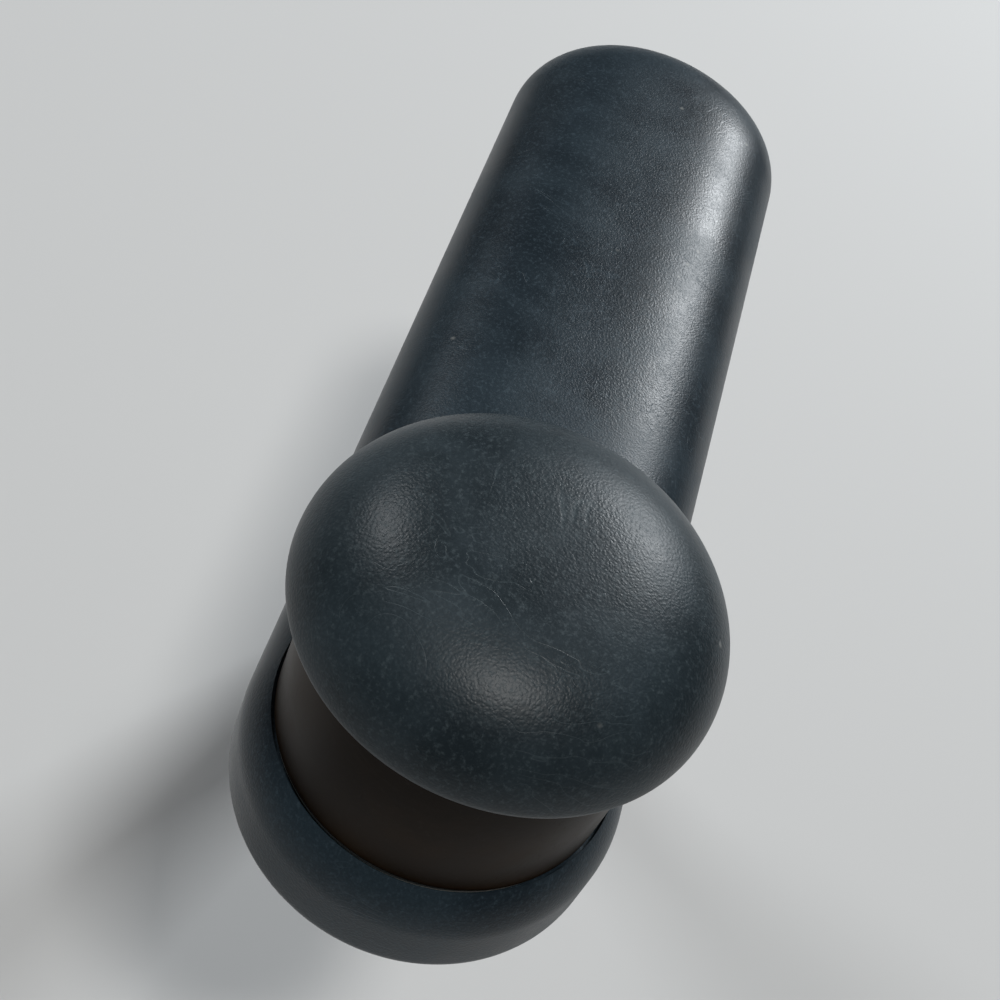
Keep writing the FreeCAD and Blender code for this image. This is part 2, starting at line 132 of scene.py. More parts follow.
def group(name, inputs, outputs, build):
    """Shader node group with named inputs (name, default) and outputs (name, socket type)."""
    g = bpy.data.node_groups.new(name, "ShaderNodeTree")
    for n, default in inputs:
        kind = "NodeSocketColor" if isinstance(default, tuple) else "NodeSocketFloat"
        s = g.interface.new_socket(name=n, in_out="INPUT", socket_type=kind)
        s.default_value = default
    for n, kind in outputs:
        g.interface.new_socket(name=n, in_out="OUTPUT", socket_type=kind)
    t = Tree(g)
    gin, gout = g.nodes.new("NodeGroupInput"), g.nodes.new("NodeGroupOutput")
    for n, sock in build(t, gin.outputs).items():
        g.links.new(sock, gout.inputs[n])
    return g


def noise(t, vec, scale, detail=2.0, rough=0.5, distort=0.0):
    return t.node("ShaderNodeTexNoise", {"Vector": vec, "Scale": scale, "Detail": detail, "Roughness": rough,
                                         "Distortion": distort}).outputs["Fac"]


# ---- shared effects --------------------------------------------------------------------------
def build_leather(t, i):
    """Fine moulded leather grain: small rounded pebbles with creases between them; Crease Shade masks the
    creases for painted shade.
    """
    pos = t.node("ShaderNodeTexCoord").outputs["Object"]
    warp = t.node("ShaderNodeTexNoise", {"Vector": pos, "Scale": 1400.0, "Detail": 2.0})
    shift = t.node("ShaderNodeVectorMath", [warp.outputs["Color"], None], operation="SCALE")
    shift.inputs["Scale"].default_value = 0.0004
    moved = t.node("ShaderNodeVectorMath", [pos, shift.outputs[0]], operation="ADD").outputs[0]
    cells = t.node("ShaderNodeTexVoronoi", {
        "Vector": moved, "Scale": i["Cells per metre"], "Smoothness": 0.6},
        feature="SMOOTH_F1").outputs["Distance"]
    pebble = t.remap(cells, 0.15, 0.75, 1.0, 0.0)
    fine = noise(t, pos, 3800.0, 3.0, 0.65)
    height = t.math("ADD", t.math("MULTIPLY", pebble, 0.6), t.math("MULTIPLY", fine, 0.6))
    patch = t.remap(noise(t, pos, 90.0, 3.0), 0.3, 0.7, 0.55, 1.0)
    return {"Height": t.math("MULTIPLY", height, patch), "Crease Shade": t.math("SUBTRACT", 1.0, pebble)}


def build_mottle(t, i):
    """Cloudy handling marks at two sizes."""
    pos = t.node("ShaderNodeTexCoord").outputs["Object"]
    big = noise(t, pos, i["Cloud scale"], 6.0, 0.6, 0.2)
    small = noise(t, pos, i["Speckle scale"], 3.0, 0.75)
    return {"Cloud": t.remap(big, 0.34, 0.68), "Speckle": t.remap(small, 0.48, 0.75)}


def build_dust(t, i):
    """Sparse pale specks."""
    pos = t.node("ShaderNodeTexCoord").outputs["Object"]
    v = t.node("ShaderNodeTexVoronoi", {"Vector": pos, "Scale": i["Specks per metre"]})
    near = t.remap(v.outputs["Distance"], 0.03, 0.13, 1.0, 0.0)
    pick = t.node("ShaderNodeSeparateColor", [v.outputs["Color"]]).outputs[0]
    return {"Mask": t.math("MULTIPLY", near, t.math("GREATER_THAN", pick, i["Rarity"]))}


def build_scratch(t, i):
    """Short hairline scratches in changing directions."""
    pos = t.node("ShaderNodeTexCoord").outputs["Object"]
    turn = t.node("ShaderNodeTexNoise", {"Vector": pos, "Scale": 55.0, "Detail": 1.0}).outputs["Color"]
    bend = t.node("ShaderNodeVectorMath", [turn, (0.5, 0.5, 0.5)], operation="SUBTRACT").outputs[0]
    push = t.node("ShaderNodeVectorMath", [bend, None], operation="SCALE")
    push.inputs["Scale"].default_value = 0.03
    p2 = t.node("ShaderNodeVectorMath", [pos, push.outputs[0]], operation="ADD").outputs[0]
    out = None
    for turn_by, stretch in ((0.5, 0.05), (-0.9, 0.06)):
        m = t.node("ShaderNodeMapping", {"Vector": p2, "Rotation": (0.2, 0.3, turn_by),
                                         "Scale": (1.0, stretch, 1.0)}).outputs[0]
        line = noise(t, m, i["Lines per metre"], 1.0, 0.4)
        hair = t.remap(t.math("ABSOLUTE", t.math("SUBTRACT", line, 0.5)), 0.0, 0.012, 1.0, 0.0)
        gate = t.remap(noise(t, pos, 95.0 + 60 * turn_by, 2.0), 0.56, 0.66)
        one = t.math("MULTIPLY", hair, gate)
        out = one if out is None else t.math("MAXIMUM", out, one)
    return {"Mask": out}


def build_lathe(t, i):
    """Fine turning rings along Z with a little wander."""
    pos = t.node("ShaderNodeTexCoord").outputs["Object"]
    m = t.node("ShaderNodeMapping", {"Vector": pos, "Scale": (0.02, 0.02, 1.0)}).outputs[0]
    rings = noise(t, m, i["Rings per metre"], 2.0, 0.7)
    return {"Height": rings}


def build_brush(t, i):
    """Straight brushing or rolling lines along X."""
    pos = t.node("ShaderNodeTexCoord").outputs["Object"]
    m = t.node("ShaderNodeMapping", {"Vector": pos, "Scale": (0.03, 1.0, 1.0)}).outputs[0]
    return {"Height": noise(t, m, i["Lines per metre"], 3.0, 0.65)}


FLOAT = "NodeSocketFloat"
LEATHER = group("leather grain", [("Cells per metre", 3600.0)], [("Height", FLOAT), ("Crease Shade", FLOAT)],
                build_leather)
MOTTLE = group("handling clouds", [("Cloud scale", 75.0), ("Speckle scale", 2300.0)],
               [("Cloud", FLOAT), ("Speckle", FLOAT)], build_mottle)
DUST = group("dust specks", [("Specks per metre", 320.0), ("Rarity", 0.9)], [("Mask", FLOAT)], build_dust)
SCRATCH = group("hairline scratches", [("Lines per metre", 420.0)], [("Mask", FLOAT)], build_scratch)
LATHE = group("turning rings", [("Rings per metre", 6000.0)], [("Height", FLOAT)], build_lathe)
BRUSH = group("brushed lines", [("Lines per metre", 3000.0)], [("Height", FLOAT)], build_brush)


def use(t, g, **values):
    n = t.node("ShaderNodeGroup", node_tree=g)
    for k, v in values.items():
        n.inputs[k.replace("_", " ")].default_value = v
    return n.outputs


def new_material(name, specular=0.5, metallic=0.0):
    m = bpy.data.materials.new(name)
    m.use_nodes = True
    m.node_tree.nodes.clear()
    t = Tree(m.node_tree)
    out = t.node("ShaderNodeOutputMaterial")
    b = t.node("ShaderNodeBsdfPrincipled")
    b.inputs["Specular IOR Level"].default_value = specular
    b.inputs["Metallic"].default_value = metallic
    t.t.links.new(b.outputs[0], out.inputs[0])
    return m, t, b


def shade(t, b, colour, rough, height=None, strength=0.3, distance=0.0001):
    t.t.links.new(colour, b.inputs["Base Color"])
    t.t.links.new(rough, b.inputs["Roughness"])
    if height is not None:
        bump = t.node("ShaderNodeBump", {"Strength": strength, "Distance": distance, "Height": height})
        t.t.links.new(bump.outputs[0], b.inputs["Normal"])


def rgb(r, g, b):
    """sRGB 0-255 to linear."""
    def lin(c):
        c /= 255.0
        return c / 12.92 if c <= 0.04045 else ((c + 0.055) / 1.055) ** 2.4
    return (lin(r), lin(g), lin(b), 1.0)


# ---- finishes --------------------------------------------------------------------------------
def moulded_skin(name, deep, pale, dust, cells, rough_lo, rough_hi, specular, grain=0.5):
    """Soft moulded plastic with leather grain, clouded by handling, with painted shade in the grain's
    creases.
    """
    m, t, b = new_material(name, specular=specular)
    lea = use(t, LEATHER, Cells_per_metre=cells)
    mot = use(t, MOTTLE)
    scr = use(t, SCRATCH)
    dus = use(t, DUST)
    col = t.mix(mot["Cloud"], deep, pale)
    col = t.mix(t.math("MULTIPLY", mot["Speckle"], 0.5), col, dust)
    # painted shade: the grain's creases are darkened toward the deep colour
    col = t.mix(t.math("MULTIPLY", lea["Crease Shade"], 0.3), col, deep)
    col = t.mix(t.math("MULTIPLY", scr["Mask"], 0.25), col, dust)
    col = t.mix(t.math("MULTIPLY", dus["Mask"], 0.6), col, rgb(120, 122, 120))
    rough = t.remap(mot["Cloud"], 0.0, 1.0, rough_lo, rough_hi, smooth=False)
    rough = t.math("ADD", rough, t.math("MULTIPLY", mot["Speckle"], 0.1))
    height = t.math("SUBTRACT", lea["Height"], t.math("MULTIPLY", scr["Mask"], 0.5))
    shade(t, b, col, rough, height, grain, 0.00006)
    return m


def smooth_neck(name):
    """Smooth half-gloss dark plastic with faint rub marks round it; its brown tint is painted reflection of
    brown surroundings, put in the base colour.
    """
    m, t, b = new_material(name, specular=0.04)
    mot = use(t, MOTTLE, Cloud_scale=60.0, Speckle_scale=1500.0)
    scr = use(t, SCRATCH, Lines_per_metre=600.0)
    rings = use(t, LATHE, Rings_per_metre=2500.0)
    # painted reflection: the brown tint in these base colours stands for a brown table reflected in the neck
    col = t.mix(mot["Cloud"], rgb(30, 21, 13), rgb(46, 35, 24))
    col = t.mix(t.math("MULTIPLY", mot["Speckle"], 0.3), col, rgb(42, 37, 32))
    col = t.mix(t.math("MULTIPLY", scr["Mask"], 0.3), col, rgb(60, 55, 50))
    rough = t.remap(mot["Cloud"], 0.0, 1.0, 0.3, 0.4, smooth=False)
    rough = t.math("ADD", rough, t.math("MULTIPLY", scr["Mask"], 0.12))
    height = t.math("ADD", t.math("MULTIPLY", rings["Height"], 0.4), t.math("MULTIPLY", mot["Speckle"], 0.2))
    shade(t, b, col, rough, height, 0.12, 0.00005)
    return m


def turned_metal(name, colour, worn, rough_lo, rough_hi, rings=6000.0, strength=0.15):
    m, t, b = new_material(name, metallic=1.0)
    lat = use(t, LATHE, Rings_per_metre=rings)
    mot = use(t, MOTTLE, Cloud_scale=80.0, Speckle_scale=900.0)
    scr = use(t, SCRATCH, Lines_per_metre=700.0)
    col = t.mix(mot["Cloud"], colour, worn)
    col = t.mix(t.math("MULTIPLY", lat["Height"], 0.25), col, worn)
    rough = t.remap(lat["Height"], 0.3, 0.7, rough_lo, rough_hi)
    rough = t.math("ADD", rough, t.math("MULTIPLY", scr["Mask"], 0.2))
    rough = t.math("ADD", rough, t.math("MULTIPLY", mot["Speckle"], 0.05))
    height = t.math("ADD", lat["Height"], t.math("MULTIPLY", scr["Mask"], -0.6))
    shade(t, b, col, rough, height, strength, 0.00004)
    return m


def plated_metal(name, colour, worn, rough_lo, rough_hi):
    m, t, b = new_material(name, metallic=1.0)
    bru = use(t, BRUSH)
    mot = use(t, MOTTLE, Cloud_scale=120.0, Speckle_scale=800.0)
    scr = use(t, SCRATCH, Lines_per_metre=500.0)
    col = t.mix(mot["Cloud"], colour, worn)
    col = t.mix(t.math("MULTIPLY", scr["Mask"], 0.4), col, rgb(210, 210, 208))
    rough = t.remap(mot["Cloud"], 0.0, 1.0, rough_lo, rough_hi, smooth=False)
    rough = t.math("ADD", rough, t.math("MULTIPLY", bru["Height"], 0.12))
    shade(t, b, col, rough, bru["Height"], 0.12, 0.00004)
    return m


def cast_metal(name, colour, worn):
    """Die casting: fine orange-peel skin."""
    m, t, b = new_material(name, metallic=0.9)
    mot = use(t, MOTTLE, Cloud_scale=90.0, Speckle_scale=1800.0)
    dus = use(t, DUST, Specks_per_metre=500.0)
    col = t.mix(mot["Cloud"], colour, worn)
    col = t.mix(t.math("MULTIPLY", dus["Mask"], 0.5), col, rgb(60, 60, 60))
    rough = t.remap(mot["Speckle"], 0.0, 1.0, 0.42, 0.6, smooth=False)
    shade(t, b, col, rough, mot["Speckle"], 0.3, 0.00005)
    return m


def plain_rubber(name, deep, pale, rough_lo=0.55, rough_hi=0.75):
    m, t, b = new_material(name, specular=0.35)
    mot = use(t, MOTTLE, Cloud_scale=70.0, Speckle_scale=2200.0)
    dus = use(t, DUST)
    col = t.mix(mot["Cloud"], deep, pale)
    col = t.mix(t.math("MULTIPLY", mot["Speckle"], 0.3), col, pale)
    col = t.mix(t.math("MULTIPLY", dus["Mask"], 0.6), col, rgb(140, 140, 136))
    rough = t.remap(mot["Cloud"], 0.0, 1.0, rough_lo, rough_hi, smooth=False)
    shade(t, b, col, rough, mot["Speckle"], 0.25, 0.00006)
    return m


FINISH = {
    "cover_plastic": moulded_skin("bar skin", rgb(21, 31, 38), rgb(37, 50, 58), rgb(66, 82, 92), 4300.0,
                                  0.32, 0.40, 0.25, 0.34),
    "cap_plastic": moulded_skin("cap skin", rgb(27, 36, 41), rgb(46, 57, 63), rgb(76, 88, 93), 3900.0,
                                0.34, 0.43, 0.25, 0.36),
    "neck_plastic": smooth_neck("neck plastic"),
    "pin_steel": turned_metal("bright pin steel", rgb(205, 206, 208), rgb(185, 186, 188), 0.12, 0.24),
    "stop_steel": turned_metal("stop head steel", rgb(190, 191, 193), rgb(165, 166, 168), 0.2, 0.34, 4000.0),
    "boot_rubber": plain_rubber("boot rubber", rgb(26, 26, 27), rgb(38, 38, 39)),
    "plate_steel": plated_metal("zinc plated steel", rgb(176, 178, 180), rgb(150, 153, 157), 0.3, 0.42),
    "screw_steel": plated_metal("screw steel", rgb(120, 121, 124), rgb(96, 97, 100), 0.28, 0.4),
    "cast_zinc": cast_metal("cast zinc", rgb(150, 152, 156), rgb(128, 130, 134)),
    "hard_steel": plated_metal("hardened steel", rgb(92, 92, 95), rgb(70, 68, 70), 0.3, 0.45),
    "brass": turned_metal("lock brass", rgb(214, 178, 106), rgb(190, 150, 84), 0.22, 0.36, 5000.0),
    "seal_rubber": plain_rubber("seal rubber", rgb(22, 22, 23), rgb(33, 33, 34), 0.4, 0.55),
    "slip_nylon": plain_rubber("slip nylon", rgb(208, 205, 196), rgb(224, 222, 214), 0.4, 0.5),
}
SLOT_OF = {s["node"]: s["material_slot"] for s in frame["record"]["subparts"]}
for node_name, ob in NODES.items():
    ob.data.materials.clear()
    ob.data.materials.append(FINISH[SLOT_OF[node_name]])


# ---- mesh helpers ----------------------------------------------------------------------------
def rounded(corners, steps=6):
    """Closed outline from (r, z, corner radius) points, with an arc at each rounded corner."""
    out, n = [], len(corners)
    for k in range(n):
        p = Vector(corners[k][:2])
        rad = corners[k][2] if len(corners[k]) > 2 else 0.0
        if rad <= 0:
            out.append(p)
            continue
        a, b = Vector(corners[k - 1][:2]) - p, Vector(corners[(k + 1) % n][:2]) - p
        half = a.angle(b) / 2
        back = min(rad / math.tan(half), 0.49 * a.length, 0.49 * b.length)
        rad = back * math.tan(half)
        start, end = p + a.normalized() * back, p + b.normalized() * back
        centre = p + (a.normalized() + b.normalized()).normalized() * (rad / math.sin(half))
        va, vb = start - centre, end - centre
        sweep = va.angle(vb)
        for s in range(steps + 1):
            w = s / steps
            v = (va * math.sin((1 - w) * sweep) + vb * math.sin(w * sweep)) / math.sin(sweep)
            out.append(centre + v)
    return [(p.x, p.y) for p in out]


def set_input(mod, tree, name, value):
    """A modifier's input is set by its identifier."""
    for item in tree.interface.items_tree:
        if item.item_type == "SOCKET" and item.in_out == "INPUT" and item.name == name:
            mod[item.identifier] = value
            return
    raise KeyError(name)


def grown_mesh(base, tree, values):
    """Evaluates a Geometry Nodes tree on base and returns the result as a plain mesh."""
    mod = base.modifiers.new("grow", "NODES")
    mod.node_group = tree
    for k, v in values.items():
        set_input(mod, tree, k, v)
    deps = bpy.context.evaluated_depsgraph_get()
    deps.update()
    mesh = bpy.data.meshes.new_from_object(base.evaluated_get(deps), preserve_all_data_layers=False,
                                           depsgraph=deps)
    base.modifiers.remove(mod)
    return mesh


def clean(mesh, merge=1e-6, sharp=35.0):
    """Merges doubles, turns faces outward and marks sharp edges."""
    bm = bmesh.new()
    bm.from_mesh(mesh)
    bmesh.ops.remove_doubles(bm, verts=bm.verts, dist=merge)
    bmesh.ops.dissolve_degenerate(bm, edges=bm.edges, dist=merge / 2)
    bmesh.ops.recalc_face_normals(bm, faces=bm.faces)
    for f in bm.faces:
        f.smooth = True
    bm.to_mesh(mesh)
    bm.free()
    mesh.set_sharp_from_angle(angle=math.radians(sharp))
    return mesh


def piece(name, mesh, body, slot, *nodes):
    """Finished object on a body, standing for the CAD nodes named."""
    mesh.materials.clear()
    mesh.materials.append(FINISH[slot])
    mesh.name = name
    ob = bpy.data.objects.new(name, mesh)
    scene.collection.objects.link(ob)
    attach(ob, body)
    if nodes:
        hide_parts(*nodes)
    return ob


def drawn_form_tree():
    """Closed outline carried round a long track with round ends, or round a circle when Reach is 0."""
    g = bpy.data.node_groups.new("drawn form", "GeometryNodeTree")
    for name, kind in (("Geometry", "NodeSocketGeometry"), ("Reach", FLOAT), ("Centre", FLOAT),
                       ("Quarter Steps", "NodeSocketInt"), ("Straight Steps", "NodeSocketInt"),
                       ("Material", "NodeSocketMaterial")):
        g.interface.new_socket(name=name, in_out="INPUT", socket_type=kind)
    g.interface.new_socket(name="Geometry", in_out="OUTPUT", socket_type="NodeSocketGeometry")
    t = Tree(g)
    i = g.nodes.new("NodeGroupInput").outputs
    size = t.node("GeometryNodeAttributeDomainSize", [i["Geometry"]], component="MESH").outputs["Point Count"]
    rows = t.math("ADD", size, 1.0)
    turned = t.math("MULTIPLY", i["Quarter Steps"], 4.0)
    around = t.math("ADD", turned, t.math("MULTIPLY", i["Straight Steps"], 2.0))
    grid = t.node("GeometryNodeMeshGrid", {"Vertices X": t.math("ADD", around, 1.0), "Vertices Y": rows})
    index = t.node("GeometryNodeInputIndex").outputs[0]
    col = t.math("FLOOR", t.math("DIVIDE", t.math("ADD", index, 0.5), rows))
    row = t.math("SUBTRACT", index, t.math("MULTIPLY", col, rows))
    at = t.math("FLOORED_MODULO", row, size)
    pos = t.node("GeometryNodeInputPosition").outputs[0]
    sample = t.node("GeometryNodeSampleIndex", data_type="FLOAT_VECTOR", domain="POINT", clamp=True)
    g.links.new(i["Geometry"], sample.inputs["Geometry"])
    g.links.new(pos, sample.inputs["Value"])
    g.links.new(at, sample.inputs["Index"])
    prof = t.node("ShaderNodeSeparateXYZ", [sample.outputs["Value"]]).outputs
    quarter = math.pi / 2
    step = t.math("DIVIDE", quarter, i["Quarter Steps"])
    go = t.math("MULTIPLY", col, step)
    run = t.math("MULTIPLY", i["Straight Steps"], step)

    def span(value, start, width):
        """How much of value lies past start, up to width."""
        return t.math("MINIMUM", t.math("MAXIMUM", t.math("SUBTRACT", value, start), 0.0), width)
    one = t.math("ADD", run, quarter)
    two = t.math("ADD", run, 3 * quarter)
    three = t.math("ADD", t.math("MULTIPLY", run, 2.0), 3 * quarter)
    turn = t.math("ADD", t.math("ADD", span(go, 0.0, quarter), span(go, one, 2 * quarter)),
                  span(go, three, quarter))
    safe = t.math("MAXIMUM", run, 1e-6)
    away = t.math("DIVIDE", span(go, quarter, run), safe)
    back = t.math("DIVIDE", span(go, two, run), safe)
    along = t.math("MULTIPLY", i["Reach"], t.math("ADD", t.math("SUBTRACT", 1.0, away), back))
    x = t.math("ADD", t.math("ADD", t.math("MULTIPLY", prof[0], t.math("COSINE", turn)), along), i["Centre"])
    y = t.math("MULTIPLY", prof[0], t.math("SINE", turn))
    place = t.node("ShaderNodeCombineXYZ", [x, y, prof[2]]).outputs[0]
    moved = t.node("GeometryNodeSetPosition", {"Geometry": grid.outputs[0], "Position": place}).outputs[0]
    joined = t.node("GeometryNodeMergeByDistance", {"Geometry": moved, "Distance": 1e-6}).outputs[0]
    real = t.node("GeometryNodeRealizeInstances", [joined]).outputs[0]
    made = t.node("GeometryNodeSetMaterial", {"Geometry": real, "Material": i["Material"]}).outputs[0]
    g.links.new(made, g.nodes.new("NodeGroupOutput").inputs[0])
    return g


DRAWN = drawn_form_tree()


def drawn(outline, centre=0.0, reach=0.0, quarter=32, straight=0, sharp=35.0, slot="pin_steel"):
    """Mesh of a closed (r, z) outline turned about a vertical axis, or carried along the bar."""
    me = bpy.data.meshes.new("outline")
    me.from_pydata([(r, 0, z) for r, z in outline], [], [])
    ob = bpy.data.objects.new("outline", me)
    scene.collection.objects.link(ob)
    mesh = grown_mesh(ob, DRAWN, {"Reach": reach, "Centre": centre, "Quarter Steps": quarter,
                                  "Straight Steps": straight, "Material": FINISH[slot]})
    bpy.data.objects.remove(ob)
    bpy.data.meshes.remove(me)
    return clean(mesh, sharp=sharp)


def cut(mesh, cutter):
    """mesh with cutter's volume taken away."""
    a, b = bpy.data.objects.new("cut_a", mesh), bpy.data.objects.new("cut_b", cutter)
    for ob in (a, b):
        scene.collection.objects.link(ob)
    m = a.modifiers.new("cut", "BOOLEAN")
    m.object, m.operation, m.solver = b, "DIFFERENCE", "EXACT"
    deps = bpy.context.evaluated_depsgraph_get()
    deps.update()
    out = bpy.data.meshes.new_from_object(a.evaluated_get(deps), depsgraph=deps)
    for ob in (a, b):
        bpy.data.objects.remove(ob)
    return out


# ---- bar cover -------------------------------------------------------------------------------
def crowned(half, top, down, steps, powers):
    """From the vertical side up over the shoulder and in to the middle of the crown."""
    across, rise = 2 / powers[0], 2 / powers[1]
    out = [(half * math.cos(a) ** across, top - down + down * math.sin(a) ** rise)
           for a in (math.pi / 2 * k / steps for k in range(steps))]
    gap = out[-1][0]
    tail = [(gap * (1 - k / 5), top - (top - out[-1][1]) * (1 - k / 5) ** 2) for k in range(1, 5)]
    return out + tail + [(0.0, top)]


def bar_cover():
    inner_half = BAR_HALF - SKIN
    flat, power = inner_half - CORE_ACROSS, 2 / CORE_POW
    inner = [(flat + CORE_ACROSS * math.cos(a) ** power,
              BAR_TOP - SKIN - CORE_DOWN * (1 - math.sin(a) ** power))
             for a in (math.pi / 2 * k / 12 for k in range(12))]
    inner += [(flat, BAR_TOP - SKIN), (0.0, BAR_TOP - SKIN)]
    outer = crowned(BAR_HALF, BAR_TOP, CROWN_DOWN, 44, CROWN_POW)
    foot = [(BAR_HALF - FOOT * (1 - math.sin(a)), BAR_Z + FOOT * (1 - math.cos(a)))
            for a in (math.pi / 2 * k / 10 for k in range(11))]
    outline = [(inner_half, BAR_Z)] + foot + [(BAR_HALF, BAR_Z + 4 * MM)] + outer + inner[::-1]
    mesh = drawn(outline, reach=REACH, quarter=48, straight=72, sharp=40.0, slot="cover_plastic")
    hole = NECK_R + GAP
    cutter = drawn([(0, low("thrust_washer")[2]), (hole, low("thrust_washer")[2]), (hole, BAR_TOP + 2 * MM),
                    (0, BAR_TOP + 2 * MM)], centre=REACH, quarter=48, slot="cover_plastic")
    return cut(mesh, cutter)


piece("bar_cover", clean(bar_cover(), sharp=38.0), "head", "cover_plastic", "body_cover")


# ---- neck ------------------------------------------------------------------------------------
bore = high("lock_barrel")[1] + RUN
neck = rounded([(bore, NECK_Z, 0.2 * MM), (NECK_R, NECK_Z, 0.3 * MM), (NECK_R, NECK_TOP, 0.5 * MM),
                (bore, NECK_TOP, 0.3 * MM)])
piece("neck_sleeve", drawn(neck, centre=REACH, quarter=48, slot="neck_plastic"), "knob", "neck_plastic",
      "guard_sleeve")


# ---- cap -------------------------------------------------------------------------------------
def cap_outline():
    lip, draw = 0.8 * MM, 0.35 * MM
    dome = crowned(CAP_R, CAP_TOP, CAP_TOP - CAP_Z - lip, 44, DOME_POW)
    foot = [(CAP_R - draw * (1 - math.sin(a)), CAP_Z + lip * (1 - math.cos(a)))
            for a in (math.pi / 2 * k / 8 for k in range(8))]
    pan = (high("cap_plate")[1] - low("cap_plate")[1]) / 2
    pan_top = high("cap_plate")[2]
    hollow = pan - 3.4 * MM
    roof = pan_top + 3 * MM
    inside = [(0.0, roof), (hollow, roof), (hollow, pan_top), (pan, pan_top), (pan, CAP_Z)]
    return foot + dome + inside


piece("dome_cap", drawn(cap_outline(), centre=REACH, quarter=48, sharp=38.0, slot="cap_plastic"), "cap",
      "cap_plastic", "dust_cap")

# ---- repeated pieces -------------------------------------------------------------------------
def copies_tree():
    """A part set at every point of the base mesh, turned to face away from the axis when Turn is 1."""
    g = bpy.data.node_groups.new("copies", "GeometryNodeTree")
    for name, kind in (("Geometry", "NodeSocketGeometry"), ("Part", "NodeSocketObject"), ("Turn", FLOAT),
                       ("Material", "NodeSocketMaterial")):
        g.interface.new_socket(name=name, in_out="INPUT", socket_type=kind)
    g.interface.new_socket(name="Geometry", in_out="OUTPUT", socket_type="NodeSocketGeometry")
    t = Tree(g)
    i = g.nodes.new("NodeGroupInput").outputs
    at = t.node("ShaderNodeSeparateXYZ", [t.node("GeometryNodeInputPosition").outputs[0]]).outputs
    facing = t.math("MULTIPLY", t.math("ARCTAN2", at[1], at[0]), i["Turn"])
    turn = t.node("ShaderNodeCombineXYZ", [0.0, 0.0, facing]).outputs[0]
    part = t.node("GeometryNodeObjectInfo", {"Object": i["Part"]})
    placed = t.node("GeometryNodeInstanceOnPoints", {
        "Points": i["Geometry"], "Instance": part.outputs["Geometry"], "Rotation": turn}).outputs[0]
    real = t.node("GeometryNodeRealizeInstances", [placed]).outputs[0]
    made = t.node("GeometryNodeSetMaterial", {"Geometry": real, "Material": i["Material"]}).outputs[0]
    g.links.new(made, g.nodes.new("NodeGroupOutput").inputs[0])
    return g


COPIES = copies_tree()


def copies(part_mesh, points, slot, turn=0.0, sharp=35.0):
    """Mesh of part_mesh repeated at every point."""
    me = bpy.data.meshes.new("points")
    me.from_pydata(points, [], [])
    base, part = bpy.data.objects.new("points", me), bpy.data.objects.new("part", part_mesh)
    for ob in (base, part):
        scene.collection.objects.link(ob)
    mesh = grown_mesh(base, COPIES, {"Part": part, "Turn": turn, "Material": FINISH[slot]})
    for ob in (base, part):
        bpy.data.objects.remove(ob)
    return clean(mesh, sharp=sharp)


def joined(*meshes):
    """One mesh out of several."""
    bm = bmesh.new()
    for me in meshes:
        bm.from_mesh(me)
    out = bpy.data.meshes.new("joined")
    bm.to_mesh(out)
    bm.free()
    return clean(out)


def block(x, y, z):
    """Box mesh from (low, high) pairs."""
    bm = bmesh.new()
    bmesh.ops.create_cube(bm, size=1.0)
    for v in bm.verts:
        v.co = [lo + (c + 0.5) * (hi - lo) for c, (lo, hi) in zip(v.co, (x, y, z))]
    out = bpy.data.meshes.new("block")
    bm.to_mesh(out)
    bm.free()
    return out


# ---- pin, stop head and boot -----------------------------------------------------------------
SHANK_R, SPIGOT_R, CORE_R = high("pin_shank")[1], 7.0 * MM, 4.5 * MM
TIP_Z = high("pin_shank")[2]
STOP_Z, SPAN_Z = low("stop_head")[2], high("stop_head")[2]
STOP_R, BOOT_R = high("stop_head")[1], high("stop_boot")[1]
BOOT_Z, BOOT_TOP = low("stop_boot")[2], high("stop_boot")[2]
groove_z, groove_top = low("dead_bolt")[2] - GAP, high("dead_bolt")[2] + GAP

piece("turned_pin", drawn(rounded([
    (0.0, STOP_Z), (5.0 * MM, STOP_Z), (5.0 * MM, SPAN_Z), (SHANK_R, SPAN_Z), (SHANK_R, 0.0, 0.5 * MM),
    (SPIGOT_R, 0.0, 0.3 * MM), (SPIGOT_R, groove_z, 0.25 * MM), (CORE_R, groove_z, 0.4 * MM),
    (CORE_R, groove_top, 0.4 * MM), (SPIGOT_R, groove_top, 0.25 * MM),
    (SPIGOT_R, TIP_Z, 1.4 * MM), (0.0, TIP_Z)]),
    slot="pin_steel"), "pin", "pin_steel", "pin_shank")
piece("turned_stop", drawn(rounded([
    (5.0 * MM, STOP_Z), (STOP_R, STOP_Z, 0.3 * MM), (STOP_R, SPAN_Z, 0.9 * MM), (5.0 * MM, SPAN_Z)]),
    slot="stop_steel"), "pin", "stop_steel", "stop_head")

RIBS, RIB_OUT = 30, 0.45 * MM
boot_cup = drawn(rounded([
    (0.0, BOOT_Z), (BOOT_R - RIB_OUT, BOOT_Z, 1.8 * MM), (BOOT_R - RIB_OUT, BOOT_TOP, 0.5 * MM),
    (STOP_R, BOOT_TOP, 0.3 * MM), (STOP_R, STOP_Z), (0.0, STOP_Z)]), slot="boot_rubber")
rib = drawn(rounded([(0.0, BOOT_Z + 2.2 * MM), (0.7 * MM, BOOT_Z + 2.2 * MM, 0.5 * MM),
                     (0.7 * MM, BOOT_TOP - 0.8 * MM, 0.5 * MM), (0.0, BOOT_TOP - 0.8 * MM)]),
            quarter=4, slot="boot_rubber")
rib_at = [((BOOT_R - 0.7 * MM) * math.cos(a), (BOOT_R - 0.7 * MM) * math.sin(a), 0.0)
          for a in (2 * math.pi * k / RIBS for k in range(RIBS))]
piece("ribbed_boot", joined(boot_cup, copies(rib, rib_at, "boot_rubber", turn=1.0)), "pin", "boot_rubber",
      "stop_boot")

